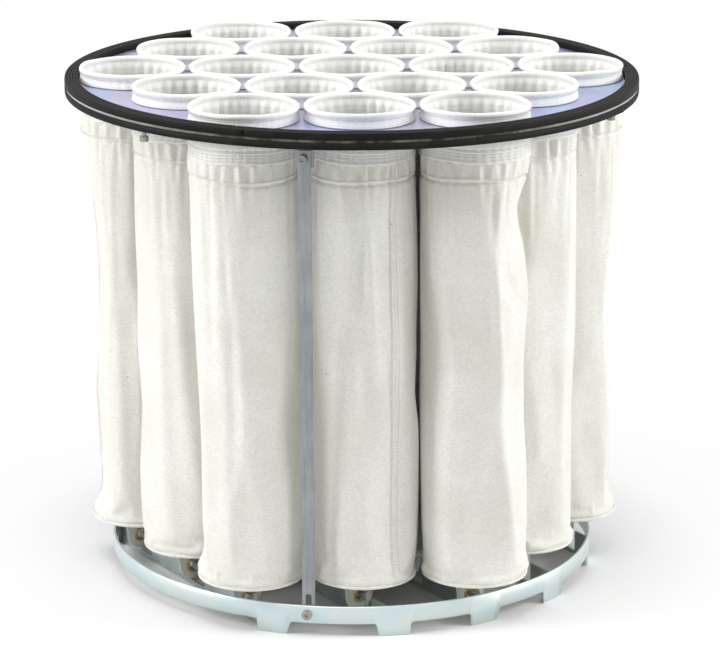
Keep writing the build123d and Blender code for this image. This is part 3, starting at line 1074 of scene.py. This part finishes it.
def tabs():
    """Folded felt tabs: rings of points round the eyelet on both faces, closed at the edge and the hole."""
    felt = Mesh("felt_tabs")
    lines = []
    angles = np.linspace(0, 2 * pi, 72, endpoint=False)
    reach = np.array([tab_reach(a) for a in angles])
    for number, centre in enumerate(BAG_PLACES):
        rng = np.random.default_rng(500 + number)
        bend = rng.uniform(-0.0015, 0.0015)
        rows = []
        for side, shares in ((1, TAB_SHARES), (-1, TAB_SHARES[::-1])):
            for share in shares:
                radius = TAB_HOLE_R + (reach - TAB_HOLE_R) * share
                puff = TAB_T / 2 * (1.0 if share < 0.9 else 0.72 if share < 1 else 0.35)
                height = EYELET_Z + radius * np.sin(angles)
                lean = bend * ((height - EYELET_Z) / 0.02) * np.sin(angles)
                rows.append(np.stack([side * puff + lean, radius * np.cos(angles), height], axis=1))
        felt.grid(at_hook(np.array(rows), centre), loop=True)
        edge = TAB_HOLE_R + (reach - TAB_HOLE_R) * TAB_STITCH
        for side in (1, -1):
            face = np.full(len(angles), side * (TAB_T / 2 + 0.0002))
            line = [face, edge * np.cos(angles), EYELET_Z + edge * np.sin(angles)]
            lines.append(at_hook(np.stack(line, axis=1), centre))
    piece = paint(felt.make(), FELT)
    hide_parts("hanging_tabs")
    stitches = sewn("tab_stitching", lines, True, thread=0.0009)
    for item in (piece, stitches):
        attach(item, BASE)


def eyelets():
    """Brass eyelets with a rolled flange on one face and a washer on the other."""
    half = TAB_T / 2
    section = [
        (EYELET_BORE_R, -half - 0.0004),
        (EYELET_BORE_R - 0.0001, half),
        (EYELET_BORE_R + 0.0006, half + 0.0008),
        (EYELET_BORE_R + 0.0018, half + 0.0010),
        (EYELET_R - 0.0006, half + 0.0004),
        (EYELET_R, half - 0.0002),
        (EYELET_R - 0.0010, half - 0.0003),
        (EYELET_R - 0.0010, -half + 0.0003),
        (EYELET_R, -half + 0.0002),
        (EYELET_R - 0.0002, -half - 0.0006),
        (EYELET_BORE_R + 0.0022, -half - 0.0007),
        (EYELET_BORE_R + 0.0012, -half - 0.0011),
    ]
    ring = Mesh("eyelet_template")
    ring.grid(turned(section, 40), loop=True)
    template = ring.make(merge=0.0)
    aim = (cos(BAR_DIRECTION), sin(BAR_DIRECTION), 0.0)
    places = [(x, y, EYELET_Z) for x, y in BAG_PLACES]
    piece = copied("brass_eyelets", template, places, [aim] * len(places), BRASS)
    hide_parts("tab_eyelets")
    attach(piece, BASE)


# Support ring: a rolled band whose lower edge drops to a foot at each end of every bar


def foot_angles():
    """Directions of the feet, from the bars' ends."""
    angles = []
    for k in range(-2, 3):
        lean = np.arcsin(k * ROW_SPACING / RING_R)
        angles += [BAR_DIRECTION + lean, BAR_DIRECTION + pi - lean]
    return sorted(angle % (2 * pi) for angle in angles)


def lower_edge(distance):
    """Height of the band's lower edge at an arc distance from the nearest foot's middle."""
    past = abs(distance) - FOOT_W / 2
    corner = FOOT_CORNER_R
    if past <= 0:
        return 0.0
    if past < corner:
        return BAND_LOW - corner + (corner**2 - (corner - past) ** 2) ** 0.5
    return BAND_LOW


def support_ring():
    """The band, with more columns at the corners of its feet."""
    feet = foot_angles()
    edge = FOOT_W / 2 / RING_R
    corner = FOOT_CORNER_R / RING_R
    marks = list(np.linspace(0, 2 * pi, 360, endpoint=False))
    steps = (0.0, 0.0001, 0.04, 0.12, 0.3, 0.55, 1.0)
    for foot in feet:
        for side in (-1, 1):
            marks += [foot + side * (edge + corner * step) for step in steps]
    marks = np.array(sorted(set(round(mark % (2 * pi), 7) for mark in marks)))
    low = []
    for mark in marks:
        nearest = min((abs((mark - foot + pi) % (2 * pi) - pi) for foot in feet))
        low.append(lower_edge(nearest * RING_R))
    low = np.array(low)
    soft = 0.0005
    section = [
        (RING_R - soft, RING_TOP),
        (RING_R, RING_TOP - soft),
        (RING_R, low + soft),
        (RING_R - soft, low),
        (RING_R - RING_T + soft, low),
        (RING_R - RING_T, low + soft),
        (RING_R - RING_T, RING_TOP - soft),
        (RING_R - RING_T + soft, RING_TOP),
    ]
    band = Mesh("rolled_support_ring")
    rows = [circle_points(radius, marks, height) for radius, height in section]
    band.grid(np.array(rows), loop=True)
    piece = paint(band.make(merge=0.0, smooth=False), RING)
    for face in piece.data.polygons:
        face.use_smooth = abs(face.normal.z) < 0.2
    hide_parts("support_ring")
    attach(piece, BASE)


# Screws and nuts, drawn along Z with the seat at the origin


def flat_sided(columns, inner, sides):
    """Radius of a regular outline with flat sides, for each column."""
    angles = round_angles(columns)
    step = 2 * pi / sides
    return inner / np.cos((angles + step / 2) % step - step / 2)


def head_template(name, radius, height, crown, recess, shank):
    """A screw with a crowned head and a recess in it, whose outline is one radius for each column."""
    profile = [
        (SHANK_R, -shank),
        (SHANK_R, 0.0),
        (radius, 0.0),
        (radius, height - crown),
        (radius - 0.25 * crown, height - 0.25 * crown),
        (radius - 1.1 * crown, height),
        (recess + 0.0002, height),
        (recess, height - 0.0003),
        (recess, height - 0.0022),
        (recess * 0.1, height - 0.0024),
    ]
    head = Mesh(name)
    rows = turned(profile, len(recess))
    head.grid(rows)
    head.cap(rows[0], flip=True)
    head.cap(rows[-1])
    return head.make(smooth=False, merge=0.0)


def cap_screw(shank):
    """A cap screw with a hexagon socket."""
    return head_template("cap_template", 0.005, 0.006, 0.0006, flat_sided(48, 0.0025, 6), shank)


def pan_screw(shank):
    """A pan screw with a six-lobed recess."""
    star = 0.0021 + 0.0003 * np.cos(6 * round_angles(48))
    return head_template("pan_template", 0.006, 0.004, 0.0016, star, shank)


def hex_nut(_):
    """A nut with flat sides and chamfered faces. It has no shank."""
    outline = flat_sided(48, 0.005, 6)
    rim = np.minimum(outline, 0.0053)
    outside = [(rim, 0.0), (outline, -0.0005), (outline, -0.0045), (rim, -0.005)]
    profile = outside + [(NUT_BORE_R, -0.005), (NUT_BORE_R, 0.0)]
    nut = Mesh("nut_template")
    nut.grid(turned(profile, 48), loop=True)
    return nut.make(smooth=False, merge=0.0)


def solid_parts(node):
    """Points of each separate solid of a node, from its mesh, in the mesh's own order."""
    shape = bmesh.new()
    shape.from_mesh(bpy.data.objects[node].data)
    bmesh.ops.remove_doubles(shape, verts=shape.verts, dist=0.000002)
    left = set(shape.verts)
    out = []
    for first in shape.verts:
        if first not in left:
            continue
        left.remove(first)
        stack, found = [first], []
        while stack:
            vert = stack.pop()
            found.append(vert.co.copy())
            for edge in vert.link_edges:
                other = edge.other_vert(vert)
                if other in left:
                    left.remove(other)
                    stack.append(other)
        out.append(np.array(found))
    shape.free()
    return out


def seats(node, aim, height):
    """The seats and aims of a node's screws or nuts. Each aims outwards if no aim is given."""
    places, aims = [], []
    for points in solid_parts(node):
        middle = (points.min(axis=0) + points.max(axis=0)) / 2
        out = np.array(aim or (middle[0], middle[1], 0.0), dtype=float)
        out /= np.linalg.norm(out)
        places.append(middle + out * ((points @ out).max() - height - middle @ out))
        aims.append(out)
    return places, aims


def fasteners():
    """Screws and nuts at the places of the solids that they stand for."""
    for node, name, template, shank, aim, height, body in (
        ("bracket_screws", "cap_screws", cap_screw, 0.0125, None, 0.006, HEAD),
        ("strap_screws", "pan_screws", pan_screw, 0.0120, None, 0.004, BASE),
        ("hanging_screws", "hanging_cap_screws", cap_screw, 0.0195, (0, 0, -1), 0.006, HEAD),
        ("bracket_nuts", "bracket_hex_nuts", hex_nut, 0.0, None, 0.0, HEAD),
        ("strap_nuts", "strap_hex_nuts", hex_nut, 0.0, None, 0.0, BASE),
        ("hanging_nuts", "hanging_hex_nuts", hex_nut, 0.0, (0, 0, 1), 0.0, HEAD),
    ):
        places, aims = seats(node, aim, height)
        piece = copied(name, template(shank), places, aims, FASTENER)
        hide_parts(node)
        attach(piece, body)


def plain_nodes():
    """CAD nodes that stay, with their finishes."""
    paint(bpy.data.objects["tube_sheet"], PLATE)
    for number in range(1, 6):
        paint(bpy.data.objects[f"cross_bar_{number}"], BAR)
    for number in range(1, 4):
        paint(bpy.data.objects[f"strap_{number}"], STRAP)
    paint(bpy.data.objects["strap_brackets"], STRAP)


# Floor, light and camera


def stage():
    """A white floor, in soft shade close to the ring and plain white farther out."""
    half = 6.0
    corners = [(-half, -half, 0), (half, -half, 0), (half, half, 0), (-half, half, 0)]
    floor = bpy.data.meshes.new("floor")
    floor.from_pydata(corners, [], [(0, 1, 2, 3)])
    ground = add_object("floor", floor)
    f = Finish("white_floor", roughness=0.9)
    f.shader.inputs["Base Color"].default_value = (0.84, 0.84, 0.84, 1)
    f.shader.inputs["Specular IOR Level"].default_value = 0.1
    path = "ShaderNodeLightPath"
    rays = f.node(path, out="Is Camera Ray") + f.node(path, out="Is Glossy Ray")
    radius = f.distance(f.place)
    white = f.node("ShaderNodeEmission", None, {"Color": (1.0, 1.0, 1.0), "Strength": 1.0}, "Emission")
    near = f.span(radius, RING_R, RING_R + 0.16)
    far = f.span(radius, RING_R + 0.1, RING_R + 0.5)
    share = near * 0.8 + far * 0.2
    both = f.tree.nodes.new("ShaderNodeMixShader")
    f.tree.links.new((rays * share).socket, both.inputs[0])
    f.tree.links.new(f.shader.outputs[0], both.inputs[1])
    f.tree.links.new(white.socket, both.inputs[2])
    f.tree.links.new(both.outputs[0], f.tree.nodes["Material Output"].inputs[0])
    paint(ground, f.material)


def soft_light(name, place, aim, size, power):
    """A square lamp, size metres wide and power watts strong, facing its aim."""
    data = bpy.data.lights.new(name, "AREA")
    data.shape = "SQUARE"
    data.size = size
    data.energy = power
    lamp = add_object(name, data)
    lamp.location = place
    lamp.rotation_euler = (Vector(aim) - Vector(place)).to_track_quat("-Z", "Y").to_euler()


def world():
    """White surroundings, dimmer as a light than they look."""
    made = bpy.data.worlds.new("studio")
    bpy.context.scene.world = made
    made.use_nodes = True
    tree = made.node_tree
    light = tree.nodes["Background"]
    seen = tree.nodes.new("ShaderNodeBackground")
    for background, strength in ((light, 0.42), (seen, 1.0)):
        background.inputs["Color"].default_value = (1, 1, 1, 1)
        background.inputs["Strength"].default_value = strength
    path = tree.nodes.new("ShaderNodeLightPath")
    mix = tree.nodes.new("ShaderNodeMixShader")
    rays = Field(tree, path.outputs["Is Camera Ray"]) + Field(tree, path.outputs["Is Glossy Ray"])
    tree.links.new(rays.socket, mix.inputs[0])
    tree.links.new(light.outputs[0], mix.inputs[1])
    tree.links.new(seen.outputs[0], mix.inputs[2])
    tree.links.new(mix.outputs[0], tree.nodes["World Output"].inputs[0])


def camera():
    """A long lens, sixteen degrees above the horizon and a little to the left."""
    azimuth, elevation, roll = radians(-2.39), radians(16.0), radians(0.08)
    distance = 3.949
    target = Vector((0.0101, 0.0005, 0.2758))
    back = Vector((sin(azimuth) * cos(elevation), -cos(azimuth) * cos(elevation), sin(elevation)))
    data = bpy.data.cameras.new("camera")
    data.lens = 162.6
    data.clip_end = 50
    eye = add_object("camera", data)
    eye.location = target + back * distance
    facing = back.to_track_quat("Z", "Y").to_matrix()
    eye.rotation_euler = (facing @ Matrix.Rotation(roll, 3, "Z")).to_euler()
    bpy.context.scene.camera = eye


plain_nodes()
gaskets()
cuffs()
bags()
tabs()
eyelets()
support_ring()
fasteners()

stage()
soft_light("left", (-3.3, -0.7, 1.9), (0, 0, 0.3), 1.6, 88)
soft_light("right", (3.3, -0.5, 1.7), (0, 0, 0.3), 1.6, 86)
soft_light("top", (-0.3, -0.7, 3.4), (0, 0, 0.4), 1.8, 42)
world()
camera()

bpy.context.scene.view_settings.view_transform = "Standard"
